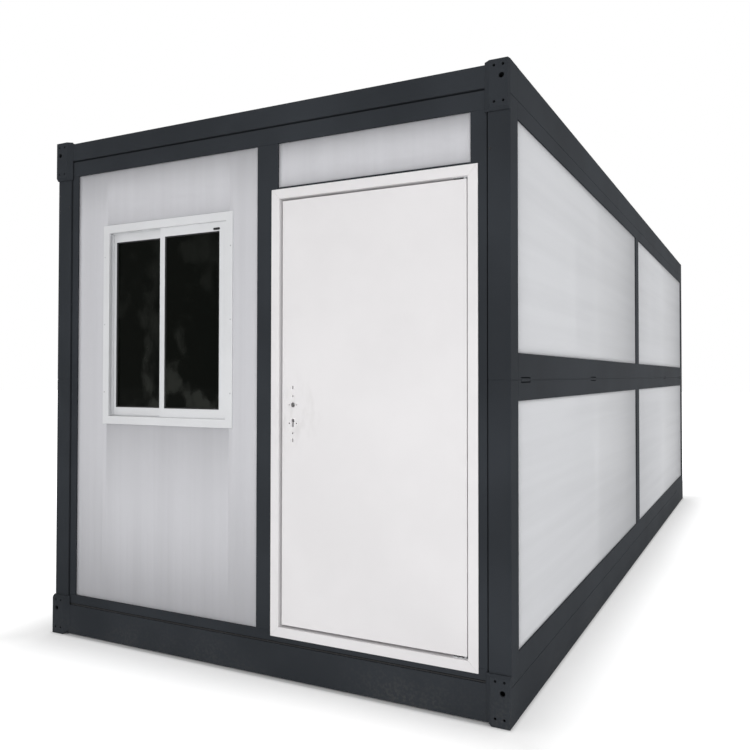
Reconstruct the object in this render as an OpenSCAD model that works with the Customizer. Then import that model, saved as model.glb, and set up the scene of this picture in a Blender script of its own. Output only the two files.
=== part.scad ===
// Folding container house: a steel frame with insulated wall boards. The side walls are
// split and hinged at half height, and the front wall swings in and up under the roof.
// Origin: centre of the footprint at ground level. +X right along the front, +Y to the
// rear, +Z up. The front wall is at the -Y end. All sizes in millimetres.

/* [Overall] */
// Width over the corner fittings
house_w = 2480; // [2100:10:3000]
// Length over the corner fittings
house_l = 5900; // [4800:10:7200]
// Height from the ground to the top of the roof beams
house_h = 2540; // [2300:10:3000]

/* [Steel frame] */
// Depth of every wall frame, from its outer to its inner face
wall_t = 92; // [70:1:120]
// Width of a corner post, never less than the depth of a wall frame
post_w = 92; // [70:1:120]
// Width of the stud in the middle of a side wall
stud_w = 120; // [90:1:200]
// Wall thickness of tubes and channels
steel_t = 3; // [2:0.5:5]
// Height of the floor beams above the ground
base_h = 150; // [120:1:200]
// Gap from the ground to the underside of the front and rear floor beams
base_lift = 4; // [4:1:30]
// Height of the side roof beams
roof_side_h = 132; // [100:1:180]
// Height of the front and rear roof beams
roof_end_h = 89; // [70:1:110]
// How far the top of these beams sits below the side roof beams
end_drop = 8; // [0:1:12]
// Length of the lip on the open side of a channel
channel_lip = 16; // [8:1:24]

/* [Corner fittings] */
// Height of a fitting's front plate
fit_h = 195; // [170:1:230]
// Width of a fitting's front face
fit_w = 79; // [70:1:100]
// How far a fitting's front plate stands proud of the posts
fit_proud = 18; // [10:1:24]
// Width of the bevel along a front plate's inner edge
fit_bevel = 25; // [8:1:30]
// Width of the bevel along a front plate's outer edge
fit_edge = 4; // [2:1:10]
// Depth of a fitting along the side wall
fit_d = 110; // [100:1:160]
// Plate thickness of a fitting
fit_t = 8; // [5:0.5:10]
// Diameter of a bolt hole in a fitting
bolt_d = 11; // [8:0.5:14]
// Spacing of the bolt holes across a fitting
bolt_dx = 37; // [30:1:50]
// Spacing of the bolt holes up a fitting
bolt_dz = 140; // [100:1:145]
// Diameter of the lifting hole in a fitting
lift_d = 22; // [16:1:30]

/* [Side walls] */
// Height of the seam between the lower and upper halves
fold_z = 1310; // [1100:1:1500]
// Open width of each seam of a side wall
seam = 4; // [2:1:8]
// Height of the bottom rail of the lower half
rail_foot_h = 104; // [70:1:130]
// Height of the rail below the fold
rail_low_h = 80; // [60:1:110]
// Height of the rail above the fold
rail_up_h = 104; // [60:1:120]
// Height of the top rail of the upper half
rail_head_h = 69; // [60:1:100]
// Thickness of a wall board
board_t = 50; // [40:1:70]
// How far the boards sit behind the face of the frame
board_recess = 8; // [2:1:20]

/* [Front wall] */
// How far the end walls sit behind the face of the posts
end_recess = 6; // [5:1:12]
// Gap between the front wall and the posts
end_gap = 6; // [5:1:10]
// Gap between the front wall and the roof beam above it
head_gap = 6; // [5:1:10]
// Gap between the front wall and the floor beam below it
sill_gap = 8; // [7:1:14]
// Width of the outer stiles
stile_w = 68; // [50:1:90]
// Width of the front wall's stile beside the window
narrow_stile_w = 40; // [36:1:90]
// Width of the post between the window board and the door
mid_post_w = 113; // [90:1:140]
// Height of the top rail
wall_head_h = 76; // [60:1:100]
// Height of the bottom rail
wall_foot_h = 44; // [30:1:46]
// Height of the bar over the door
bar_h = 41; // [30:1:60]

/* [Door] */
// Clear width inside the face of the door frame
door_w = 895; // [780:1:950]
// Clear height inside the face of the door frame
door_h = 1889; // [1760:1:1900]
// Height of the door frame's lower inner edge above the ground
door_z = 223; // [216:1:240]
// Width of the door frame's face
door_face = 43; // [30:1:50]
// Gap round the door leaf
door_gap = 9; // [8:0.5:12]
// Thickness of the door leaf
leaf_t = 45; // [38:1:46]
// How far the leaf sits behind the face of its frame
leaf_recess = 14; // [6:1:16]
// Diameter of the hole for the lock's spindle
spindle_d = 23; // [12:1:24]
// Distance from the spindle down to the key hole
key_drop = 70; // [60:1:92]

/* [Window] */
// Width over the window's outer trim
win_w = 822; // [600:1:900]
// Height over the window's outer trim
win_h = 1000; // [700:1:1100]
// Height of the window's lower edge above the ground
win_z = 1086; // [900:1:1200]
// Width of the window frame's face
win_face = 40; // [32:1:50]
// Height of a sash's top and bottom bars
sash_w = 52; // [40:1:60]
// Width of the upright bars where the sashes meet
meet_w = 33; // [26:1:50]
// Width of the left sash's outer bar
edge_bar_w = 26; // [18:1:50]
// Width of the right sash's outer bar, which carries the latch
latch_bar_w = 56; // [40:1:70]
// Thickness of a sash
sash_t = 14; // [12:1:18]
// Thickness of a pane
pane_t = 5; // [4:0.5:6]

/* [Floor and roof] */
// Thickness of the floor board
floor_t = 18; // [15:1:24]
// Thickness of the ceiling board
ceiling_t = 8; // [6:1:12]
// Number of joists in the floor
floor_joists_n = 9; // [5:1:13]
// Number of joists in the roof
roof_joists_n = 6; // [4:1:9]
// Pitch of the ribs in the roof sheet
rib_pitch = 200; // [150:10:300]

/* [Hidden] */
$fn = 48;

anthracite = "#393b3f";
board_white = "#cdced0";
door_white = "#e2e1e3";
trim_grey = "#d2d3d5";

post = max(post_w, wall_t);          // width of a corner post as built
hx = house_w / 2;                    // outer face of the side walls
ix = hx - wall_t;                    // inner face of the side walls
fy = house_l / 2 - fit_proud;        // outer face of the end walls
iy = fy - wall_t;                    // inner face of the end walls
ey = fy - end_recess;                // outer face of the end wall frames
end_top = house_h - end_drop;        // top of the end roof beams
roof_z = end_top - roof_end_h;       // underside of the end roof beams and the ceiling
side_top = house_h - roof_side_h - seam;
lower_z0 = base_h + seam;
lower_z1 = fold_z - seam / 2;
upper_z0 = fold_z + seam / 2;
bolt_x = (fit_edge + fit_w - bolt_dx) / 2;  // outer column of bolt holes, from the outer side
bolt_top = 23;                       // upper row of bolt holes, below the plate's top
lift_x = 30;                         // lifting hole, from the outer side
lift_top = 65;                       // lifting hole, below the plate's top

wall_x = hx - post - end_gap;        // half width of the front wall
wall_z0 = base_h + sill_gap;
wall_z1 = roof_z - head_gap;
case_t = 11;                         // thickness of the door frame's casing
door_x1 = wall_x - stile_w - case_t; // hinge side of the door opening
door_x0 = door_x1 - door_w;
door_z1 = door_z + door_h;
mid_x1 = door_x0 - case_t;
mid_x0 = mid_x1 - mid_post_w;
board_x0 = -wall_x + narrow_stile_w;
board_z0 = wall_z0 + wall_foot_h;
board_z1 = wall_z1 - wall_head_h;
bar_z1 = door_z1 + case_t + bar_h;

win_x = (board_x0 + mid_x0) / 2 + 20;  // centre of the window
win_x0 = win_x - win_w / 2;
win_x1 = win_x + win_w / 2;
win_z1 = win_z + win_h;

// ---------- helpers ----------

// Box given by two corners.
module block(a, b) {
  translate(a) cube(b - a);
}

// Copy to both sides of the X = 0 plane.
module both_x() {
  children();
  mirror([1, 0, 0]) children();
}

// Copy to both sides of the Y = 0 plane.
module both_y() {
  children();
  mirror([0, 1, 0]) children();
}

// Square tube along Z.
module tube_z(a, b, t = steel_t) {
  translate([a.x, a.y, a.z]) linear_extrude(b.z - a.z) difference() {
    square([b.x - a.x, b.y - a.y]);
    translate([t, t]) square([b.x - a.x - 2 * t, b.y - a.y - 2 * t]);
  }
}

// Square tube along Y.
module tube_y(a, b, t = steel_t) {
  translate([a.x, b.y, a.z]) rotate([90, 0, 0]) linear_extrude(b.y - a.y) difference() {
    square([b.x - a.x, b.z - a.z]);
    translate([t, t]) square([b.x - a.x - 2 * t, b.z - a.z - 2 * t]);
  }
}

// Square tube along X.
module tube_x(a, b, t = steel_t) {
  translate([a.x, a.y, a.z]) rotate([90, 0, 90]) linear_extrude(b.x - a.x) difference() {
    square([b.y - a.y, b.z - a.z]);
    translate([t, t]) square([b.y - a.y - 2 * t, b.z - a.z - 2 * t]);
  }
}

// Lipped channel outline: web on the +X side, open towards -X.
module channel_outline(d, h, t, lip) {
  difference() {
    square([d, h]);
    translate([-1, t]) square([d - t + 1, h - 2 * t]);
  }
  square([t, lip]);
  translate([0, h - lip]) square([t, lip]);
}

// Lipped channel along Y on the right side, web outside.
module channel_y(x0, x1, y0, y1, z0, z1) {
  translate([x0, y1, z0]) rotate([90, 0, 0]) linear_extrude(y1 - y0)
    channel_outline(x1 - x0, z1 - z0, steel_t, channel_lip);
}

// Lipped channel along X at the rear, web outside.
module channel_x(x0, x1, y0, y1, z0, z1) {
  translate([x0, y0, z0]) rotate([90, 0, 90]) linear_extrude(x1 - x0)
    channel_outline(y1 - y0, z1 - z0, steel_t, channel_lip);
}

// ---------- floor frame ----------

module base_side_beams() {
  color(anthracite) both_x() difference() {
    channel_y(ix, hx, fit_d - house_l / 2, house_l / 2 - fit_d, 0, base_h);
    hinge_notches();
  }
}

module base_end_beams() {
  color(anthracite) both_y()
    channel_x(post - hx, hx - post, iy, fy, base_lift, base_h);
}

module floor_joists() {
  joist_h = 80;
  joist_w = 40;
  z1 = base_h - floor_t;
  pitch = 2 * iy / (floor_joists_n + 1);
  color("silver") for (i = [1 : floor_joists_n])
    tube_x([-ix, i * pitch - iy - joist_w / 2, z1 - joist_h], [ix, i * pitch - iy + joist_w / 2, z1]);
}

module floor_board() {
  color("tan") block([-ix, -iy, base_h - floor_t], [ix, iy, base_h]);
}

// ---------- corner fittings ----------

// Plan of a fitting's front plate at the front right corner: u runs inwards from the
// outer side, v runs back from the front face. Both front edges can be bevelled.
module plate_plan(edge) {
  polygon([[edge, 0], [fit_w, 0], [fit_w + fit_bevel, fit_proud], [0, fit_proud]]);
}

// Fitting with its box end at z = 0 and its front plate up to fit_h. box_h is the
// height of the box that the beams meet. A top fitting has its outer edge bevelled, a
// bottom one has its foot cut back at the inner corner.
module fitting(box_h, top) {
  toe = fit_w + fit_bevel;
  foot = [32, 24];
  difference() {
    union() {
      translate([0, fit_proud, 0]) cube([post, fit_d - fit_proud, box_h]);
      linear_extrude(fit_h) plate_plan(top ? fit_edge : 0);
    }
    translate([fit_t, fit_t, fit_t + 6]) cube([post - 2 * fit_t, fit_d - 2 * fit_t, box_h - 2 * fit_t - 6]);
    if (!top) translate([0, fit_proud, 0]) rotate([90, 0, 0]) linear_extrude(fit_proud + 1)
      polygon([[toe - foot.x, -1], [toe + 1, -1], [toe + 1, foot.y]]);
    // the plate's free end is bevelled back to the post
    translate([-1, 0, fit_h]) rotate([90, 0, 90]) linear_extrude(toe + 2)
      polygon([[-1, 1], [-1, -13], [0, -12], [10, 0], [10, 1]]);
    fitting_holes(top);
  }
}

// z of a hole that is d below the plate's upper end in the finished house.
function hole_z(d, from_box) = from_box ? d : fit_h - d;

module fitting_holes(from_box) {
  for (x = [bolt_x, bolt_x + bolt_dx], d = [bolt_top, bolt_top + bolt_dz])
    translate([x, -1, hole_z(d, from_box)]) rotate([-90, 0, 0]) cylinder(d = bolt_d, h = fit_proud + 2);
  translate([lift_x, -1, hole_z(lift_top, from_box)]) rotate([-90, 0, 0])
    cylinder(d = lift_d, h = fit_proud + 2);
}

// Places a bottom fitting at the front right corner.
module bottom_fitting() {
  translate([hx, -house_l / 2, 0]) mirror([1, 0, 0]) fitting(base_h, false);
}

// Places a top fitting at the front right corner, upside down.
module top_fitting() {
  translate([hx, -house_l / 2, house_h]) mirror([1, 0, 0]) mirror([0, 0, 1])
    fitting(roof_side_h, true);
}

module bottom_front_fittings() {
  color(anthracite) both_x() bottom_fitting();
}

module bottom_rear_fittings() {
  color(anthracite) both_x() mirror([0, 1, 0]) bottom_fitting();
}

module top_front_fittings() {
  color(anthracite) both_x() top_fitting();
}

module top_rear_fittings() {
  color(anthracite) both_x() mirror([0, 1, 0]) top_fitting();
}

// ---------- side walls (drawn on the right, mirrored for the left) ----------

// Corner posts and middle stud between two heights.
module side_posts(z0, z1) {
  for (s = [-1, 1])
    tube_z([hx - post, s > 0 ? fy - post : -fy, z0], [hx, s > 0 ? fy : post - fy, z1]);
  tube_z([ix, -stud_w / 2, z0 + (z0 < fold_z ? rail_foot_h : rail_up_h)],
         [hx, stud_w / 2, z1 - (z0 < fold_z ? rail_low_h : rail_head_h)]);
}

// Bottom and top rail of one half.
module side_rails(z0, z1, foot_h, head_h) {
  y = fy - post;
  difference() {
    union() {
      tube_y([ix, -y, z0], [hx, y, z0 + foot_h]);
      tube_y([ix, -y, z1 - head_h], [hx, y, z1]);
    }
    hinge_notches();
  }
}

// Two boards of one half, in front of and behind the middle stud.
module side_boards(z0, z1, foot_h, head_h) {
  both_y() block([hx - board_recess - board_t, stud_w / 2, z0 + foot_h],
                 [hx - board_recess, fy - post, z1 - head_h]);
}

// Hinges of a side wall: along the outer face at the fold, and along the inner face at
// the floor beam and the roof beam.
hinge_r = 9;
hinge_len = 120;
hinge_clear = 2;
hinge_leaf_w = 55;
fold_hinge_y = [-fy + 190, -fy + 1435, fy - 1435, fy - 190];
inner_hinge_y = [-fy + 640, 0, fy - 640];
// Each line of hinges: barrel's x and z, side its leaf lies on, places along the wall.
hinge_lines = [
  [hx - hinge_r, fold_z, -1, fold_hinge_y],
  [ix + hinge_r, lower_z0 - seam / 2, 1, inner_hinge_y],
  [ix + hinge_r, side_top + seam / 2, 1, inner_hinge_y]
];

module hinge_notches() {
  r = hinge_r + hinge_clear;
  for (l = hinge_lines, y = l[3])
    block([l[0] - r, y - hinge_len / 2 - hinge_clear, l[1] - r],
          [l[0] + r, y + hinge_len / 2 + hinge_clear, l[1] + r]);
}

// Three knuckles on one pin; the leaves lie flat in the seam.
module wall_hinges() {
  knuckle = hinge_len / 3;
  for (l = hinge_lines, y = l[3]) translate([l[0], y, l[1]]) {
    translate([0, hinge_len / 2, 0]) rotate([90, 0, 0]) cylinder(r = hinge_r - 2, h = hinge_len);
    for (s = [-1, 0, 1])
      translate([0, s * knuckle + knuckle / 2 - 0.5, 0]) rotate([90, 0, 0])
        cylinder(r = hinge_r, h = knuckle - 1);
    block([min(0, l[2] * hinge_leaf_w), -hinge_len / 2, -seam / 2],
          [max(0, l[2] * hinge_leaf_w), hinge_len / 2, seam / 2]);
  }
}

module lower_posts() { color(anthracite) side_posts(lower_z0, lower_z1); }
module upper_posts() { color(anthracite) side_posts(upper_z0, side_top); }
module lower_rails() { color(anthracite) side_rails(lower_z0, lower_z1, rail_foot_h, rail_low_h); }
module upper_rails() { color(anthracite) side_rails(upper_z0, side_top, rail_up_h, rail_head_h); }
module lower_boards() { color(board_white) side_boards(lower_z0, lower_z1, rail_foot_h, rail_low_h); }
module upper_boards() { color(board_white) side_boards(upper_z0, side_top, rail_up_h, rail_head_h); }
module hinges() { color(anthracite) wall_hinges(); }

// ---------- roof ----------

module roof_side_beams() {
  color(anthracite) both_x() difference() {
    channel_y(ix, hx, fit_d - house_l / 2, house_l / 2 - fit_d, house_h - roof_side_h, house_h);
    hinge_notches();
  }
}

module roof_end_beams() {
  color(anthracite) both_y()
    channel_x(post - hx, hx - post, iy, fy, roof_z, end_top);
}

sheet_t = 2;
rib_h = 22;
joist_top = end_top - 4 - rib_h - sheet_t;

module roof_joists() {
  joist_w = 50;
  pitch = 2 * iy / (roof_joists_n + 1);
  color("silver") for (i = [1 : roof_joists_n])
    tube_x([-ix, i * pitch - iy - joist_w / 2, roof_z + ceiling_t],
           [ix, i * pitch - iy + joist_w / 2, joist_top]);
}

// Outline of the ribbed sheet along Y: a flat-topped rib in each pitch.
function rib_line(n, dz) = [for (i = [0 : n - 1], p = [[0, 0], [0.3, 0], [0.36, 1], [0.64, 1], [0.7, 0]])
  [(i + p[0]) * 2 * iy / n - iy, p[1] * rib_h + dz]];
function reversed(v) = [for (i = [len(v) - 1 : -1 : 0]) v[i]];

module roof_sheet() {
  n = round(2 * iy / rib_pitch);
  top = concat(rib_line(n, sheet_t), [[iy, sheet_t]]);
  bottom = concat(rib_line(n, 0), [[iy, 0]]);
  color(anthracite) translate([-ix, 0, joist_top]) rotate([90, 0, 90]) linear_extrude(2 * ix)
    polygon(concat(bottom, reversed(top)));
}

module ceiling() {
  gap = 20;
  color("white") block([-ix, gap - iy, roof_z], [ix, iy - gap, roof_z + ceiling_t]);
}

// ---------- rear wall ----------

module rear_wall_rails() {
  color(anthracite) {
    tube_x([-wall_x, iy, base_h], [wall_x, ey, board_z0]);
    tube_x([-wall_x, iy, board_z1], [wall_x, ey, wall_z1]);
  }
}

module rear_wall_stiles() {
  color(anthracite) {
    both_x() tube_z([wall_x - stile_w, iy, board_z0], [wall_x, ey, board_z1]);
    tube_z([-mid_post_w / 2, iy, board_z0], [mid_post_w / 2, ey, board_z1]);
  }
}

module rear_wall_boards() {
  color(board_white) both_x()
    block([mid_post_w / 2, ey - board_recess - board_t, board_z0],
          [wall_x - stile_w, ey - board_recess, board_z1]);
}

// ---------- hinges at the head of the front wall ----------

wall_pin_r = 4;
wall_knuckle_r = 8;
wall_pin_y = wall_knuckle_r - iy;
wall_pin_z = wall_z1 - 4;
wall_knuckle_len = 60;
wall_hinge_x = [-850, 0, 850];

// Fixed half: two knuckles with the pin, on a strap that runs up the roof beam.
module wall_hinge_pins() {
  color(anthracite) for (x = wall_hinge_x) {
    translate([x - 1.5 * wall_knuckle_len, wall_pin_y, wall_pin_z]) rotate([0, 90, 0])
      cylinder(r = wall_pin_r, h = 3 * wall_knuckle_len);
    for (s = [-1, 1]) {
      translate([x + s * wall_knuckle_len - wall_knuckle_len / 2 + 0.5, wall_pin_y, wall_pin_z])
        rotate([0, 90, 0]) cylinder(r = wall_knuckle_r, h = wall_knuckle_len - 1);
      block([x + s * wall_knuckle_len - wall_knuckle_len / 2 + 0.5, -iy, roof_z],
            [x + s * wall_knuckle_len + wall_knuckle_len / 2 - 0.5, 4 - iy, roof_z + 55]);
      block([x + s * wall_knuckle_len - wall_knuckle_len / 2 + 0.5, -iy + 1, wall_pin_z],
            [x + s * wall_knuckle_len + wall_knuckle_len / 2 - 0.5, 4 - iy, roof_z + 1]);
    }
  }
}

// Moving half: the middle knuckle on a strap that runs down the wall's top rail.
module wall_hinge_knuckles() {
  color(anthracite) for (x = wall_hinge_x) difference() {
    union() {
      translate([x - wall_knuckle_len / 2 + 0.5, wall_pin_y, wall_pin_z]) rotate([0, 90, 0])
        cylinder(r = wall_knuckle_r, h = wall_knuckle_len - 1);
      block([x - wall_knuckle_len / 2 + 0.5, -iy, wall_pin_z - 55],
            [x + wall_knuckle_len / 2 - 0.5, 4 - iy, wall_pin_z]);
    }
    translate([x - wall_knuckle_len, wall_pin_y, wall_pin_z]) rotate([0, 90, 0])
      cylinder(r = wall_pin_r + 0.3, h = 2 * wall_knuckle_len);
  }
}

// ---------- front wall ----------

module front_wall_rails() {
  color(anthracite) {
    tube_x([-wall_x, -ey, wall_z0], [wall_x, -iy, board_z0]);
    tube_x([-wall_x, -ey, board_z1], [wall_x, -iy, wall_z1]);
    tube_x([mid_x1, -ey, bar_z1 - bar_h], [wall_x - stile_w, -iy, bar_z1]);
    // packer between the bottom rail and the door's sill
    if (door_z - case_t > board_z0 + 1)
      block([mid_x1, -ey, board_z0], [wall_x - stile_w, -iy, door_z - case_t]);
  }
}

module front_wall_stiles() {
  color(anthracite) {
    tube_z([-wall_x, -ey, board_z0], [board_x0, -iy, board_z1]);
    tube_z([mid_x0, -ey, board_z0], [mid_x1, -iy, board_z1]);
    tube_z([wall_x - stile_w, -ey, board_z0], [wall_x, -iy, board_z1]);
  }
}

lap = 20;  // how far the window's trim laps over the board

module window_board() {
  color(board_white) difference() {
    block([board_x0, board_recess - ey, board_z0], [mid_x0, board_recess + board_t - ey, board_z1]);
    block([win_x0 + lap, -house_l, win_z + lap], [win_x1 - lap, 0, win_z1 - lap]);
  }
}

module transom_board() {
  color(board_white) block([mid_x1, board_recess - ey, bar_z1],
                           [wall_x - stile_w, board_recess + board_t - ey, board_z1]);
}

// ---------- sliding window ----------

trim_t = 6;                       // how far the trim stands on the board
win_y = board_recess - trim_t - ey;
win_d = trim_t + board_t + 10;    // depth of the window frame
day_x0 = win_x0 + win_face;
day_x1 = win_x1 - win_face;
day_z0 = win_z + win_face;
day_z1 = win_z1 - win_face;
engage = 8;                       // depth of a sash in its track
track_clear = 1;
track_w = sash_t + 2 * track_clear;
track_y = [win_y + 12, win_y + 12 + track_w + 4];
meet_x0 = (day_x0 + day_x1) / 2 - 44;  // left edge of the bars that meet
// Each sash: its left and right ends, and the widths of its left and right bars.
left_sash = [day_x0 - engage, meet_x0 + meet_w, edge_bar_w, meet_w];
right_sash = [meet_x0, day_x1 + engage, meet_w, latch_bar_w];

// Flat ring in the XZ plane from y0 to y1.
module ring(x0, x1, z0, z1, w, y0, y1) {
  difference() {
    block([x0, y0, z0], [x1, y1, z1]);
    block([x0 + w, y0 - 1, z0 + w], [x1 - w, y1 + 1, z1 - w]);
  }
}

module window_frame() {
  color(trim_grey) difference() {
    union() {
      ring(win_x0, win_x1, win_z, win_z1, win_face, win_y, win_y + trim_t);
      ring(win_x0 + lap, win_x1 - lap, win_z + lap, win_z1 - lap, win_face - lap, win_y, win_y + win_d);
    }
    for (y = track_y)
      block([day_x0 - engage - track_clear, y, day_z0 - engage],
            [day_x1 + engage + track_clear, y + track_w, day_z1 + engage + track_clear]);
  }
}

// One sash on the track that starts at y, grooved for its pane.
module sash(s, y) {
  difference() {
    block([s[0], y + track_clear, day_z0 - engage], [s[1], y + track_clear + sash_t, day_z1 + engage]);
    block([s[0] + s[2], y, day_z0 - engage + sash_w], [s[1] - s[3], y + track_w, day_z1 + engage - sash_w]);
    pane(s, y);
  }
}

module pane(s, y) {
  bite = 6;
  y0 = y + track_clear + (sash_t - pane_t) / 2;
  block([s[0] + s[2] - bite, y0, day_z0 - engage + sash_w - bite],
        [s[1] - s[3] + bite, y0 + pane_t, day_z1 + engage - sash_w + bite]);
}

module window_sashes() {
  color(trim_grey) {
    sash(left_sash, track_y[1]);
    sash(right_sash, track_y[0]);
  }
}

module window_glass() {
  color("#101412") {
    pane(left_sash, track_y[1]);
    pane(right_sash, track_y[0]);
  }
}

// ---------- door ----------

flange_t = 4;                         // how far the frame's face stands on the wall
face_y = -ey - flange_t;              // front of the door frame
leaf_y = face_y + leaf_recess;        // front of the leaf
stop_y = leaf_y + leaf_t + 7;         // front of the stop
stop_t = 12;
stop_w = 14;
case_d = -iy - face_y;                // depth of the casing
leaf_x0 = door_x0 + door_gap;
leaf_x1 = door_x1 - door_gap;
leaf_z0 = door_z + door_gap;
leaf_z1 = door_z1 - door_gap;

// Section of the door frame: u runs outwards from the opening's edge, v runs inwards
// from the frame's face. Face, casing and stop are one folded profile.
module frame_section() {
  polygon([[0, 0], [door_face, 0], [door_face, flange_t], [case_t, flange_t],
           [case_t, case_d], [0, case_d],
           [0, stop_y - face_y + stop_t], [-stop_w, stop_y - face_y + stop_t],
           [-stop_w, stop_y - face_y], [0, stop_y - face_y]]);
}

module jamb() {
  translate([door_x1, face_y, door_z - door_face]) linear_extrude(door_h + 2 * door_face) frame_section();
}

module door_jambs() {
  mid = (door_x0 + door_x1) / 2;
  color(door_white) intersection() {
    union() {
      jamb();
      translate([mid, 0, 0]) mirror([1, 0, 0]) translate([-mid, 0, 0]) jamb();
    }
    door_mitre(false);
  }
}

module door_head_sill() {
  mid = (door_z + door_z1) / 2;
  module head() {
    translate([door_x0 - door_face, face_y, door_z1]) rotate([90, 0, 90])
      linear_extrude(door_w + 2 * door_face) mirror([1, -1]) frame_section();
  }
  color(door_white) intersection() {
    union() {
      head();
      translate([0, 0, mid]) mirror([0, 0, 1]) translate([0, 0, -mid]) head();
    }
    door_mitre(true);
  }
}

// Wedges that split the door frame along its mitres: head and sill, or the two jambs.
module door_mitre(ends) {
  r = door_face + 1;
  c = [door_x0 + door_w / 2, (door_z + door_z1) / 2];
  a = door_w / 2 + r;
  b = door_h / 2 + r;
  k = door_w / 2 - stop_w - 1;
  m = door_h / 2 - stop_w - 1;
  module half(s) {
    polygon(ends ? [[-a, s * b], [a, s * b], [k, s * m], [-k, s * m]]
                 : [[s * a, -b], [s * a, b], [s * k, m], [s * k, -m]]);
  }
  translate([c[0], 1 - iy, c[1]]) rotate([90, 0, 0]) linear_extrude(case_d + 2) {
    half(-1);
    half(1);
  }
}

module door_seal() {
  seal_t = 4;
  color("dimgray") ring(door_x0, door_x1, door_z, door_z1, stop_w, stop_y - seal_t, stop_y);
}

pivot_in = door_gap;                  // pivot's distance from the leaf's edge and from its face
door_pin_x = leaf_x1 - pivot_in;
door_pin_y = leaf_y + pivot_in;
door_pin_r = 4;
pin_len = 22;                         // how far a pivot pin reaches into the leaf
socket_r = pivot_in - 1;
socket_len = pin_len + 6;
pivot_plate_t = 3;

// Mirror a lower pivot to the upper end of the leaf as well.
module both_ends() {
  mid = (door_z + door_z1) / 2;
  children();
  translate([0, 0, mid]) mirror([0, 0, 1]) translate([0, 0, -mid]) children();
}

// Frame half of the pivot hinges: a pin on a plate, at the sill and at the head. The
// leaf rides on a shoulder round each pin.
module door_hinge_pins() {
  color("silver") both_ends() {
    block([door_pin_x - 50, leaf_y, door_z], [door_x1, leaf_y + 30, door_z + pivot_plate_t]);
    translate([door_pin_x, door_pin_y, door_z + 1]) cylinder(r = door_pin_r + 3, h = door_gap - 2);
    translate([door_pin_x, door_pin_y, door_z + 1]) cylinder(r = door_pin_r, h = door_gap - 1 + pin_len);
  }
}

// Leaf half: a socket let into each end of the leaf, bored for the pin.
module door_hinge_knuckles() {
  color("silver") both_ends() translate([door_pin_x, door_pin_y, leaf_z0]) difference() {
    cylinder(r = socket_r, h = socket_len);
    translate([0, 0, -1]) cylinder(r = door_pin_r + 0.3, h = pin_len + 2);
  }
}

lock_x = leaf_x0 + 56;
lock_z = door_z + 976;

// Holes that wait for a lock set, through both skins, and the pocket between them.
module lock_holes() {
  module hole(x, z, d) {
    translate([lock_x + x, leaf_y - 1, z]) rotate([-90, 0, 0]) cylinder(d = d, h = leaf_t + 2);
  }
  module slot(z) {
    block([lock_x - 3, leaf_y - 1, z - 7], [lock_x + 3, leaf_y + leaf_t + 1, z + 7]);
  }
  hole(0, lock_z, spindle_d);
  hole(0, lock_z - key_drop, 17);
  block([lock_x - 5, leaf_y - 1, lock_z - key_drop - 26], [lock_x + 5, leaf_y + leaf_t + 1, lock_z - key_drop]);
  for (x = [-19, 19], z = [0, -key_drop - 11]) hole(x, lock_z + z, 7);
  hole(0, lock_z + 39, 8);
  hole(0, lock_z - 124, 8);
  slot(lock_z + 76);
  slot(lock_z - 155);
  block([leaf_x0 - 1, leaf_y + leaf_t / 2 - 8, lock_z - 140], [leaf_x0 + 92, leaf_y + leaf_t / 2 + 8, lock_z + 60]);
}

module door_leaf() {
  color(door_white) difference() {
    block([leaf_x0, leaf_y, leaf_z0], [leaf_x1, leaf_y + leaf_t, leaf_z1]);
    lock_holes();
    both_ends() translate([door_pin_x, door_pin_y, leaf_z0 - 1]) rotate([0, 0, 90])
      cylinder(r = socket_r, h = socket_len + 1);
  }
}

// ---------- assembly ----------

base_side_beams();
base_end_beams();
floor_joists();
floor_board();
bottom_front_fittings();
bottom_rear_fittings();
top_front_fittings();
top_rear_fittings();
mirror([1, 0, 0]) lower_posts();  // lower_posts_left
mirror([1, 0, 0]) lower_rails();  // lower_rails_left
mirror([1, 0, 0]) lower_boards();  // lower_boards_left
mirror([1, 0, 0]) upper_posts();  // upper_posts_left
mirror([1, 0, 0]) upper_rails();  // upper_rails_left
mirror([1, 0, 0]) upper_boards();  // upper_boards_left
lower_posts();  // lower_posts_right
lower_rails();  // lower_rails_right
lower_boards();  // lower_boards_right
upper_posts();  // upper_posts_right
upper_rails();  // upper_rails_right
upper_boards();  // upper_boards_right
mirror([1, 0, 0]) hinges();  // fold_hinges_left
hinges();  // fold_hinges_right
roof_side_beams();
roof_end_beams();
roof_joists();
roof_sheet();
ceiling();
rear_wall_rails();
rear_wall_stiles();
rear_wall_boards();
wall_hinge_pins();
wall_hinge_knuckles();
front_wall_rails();
front_wall_stiles();
window_board();
transom_board();
window_frame();
window_sashes();
window_glass();
door_jambs();
door_head_sill();
door_seal();
door_hinge_pins();
door_leaf();
door_hinge_knuckles();
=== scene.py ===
"""Folding container house: its finishes, its fine pieces, and the studio round it.

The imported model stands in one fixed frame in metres: +X along the front wall, -Y in front of it, +Z up.
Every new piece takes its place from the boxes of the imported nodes.
"""
import logging
import math
from dataclasses import dataclass
from enum import Enum
from typing import Any, ClassVar, Dict, NamedTuple, Optional, Sequence, Tuple, Union

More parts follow.
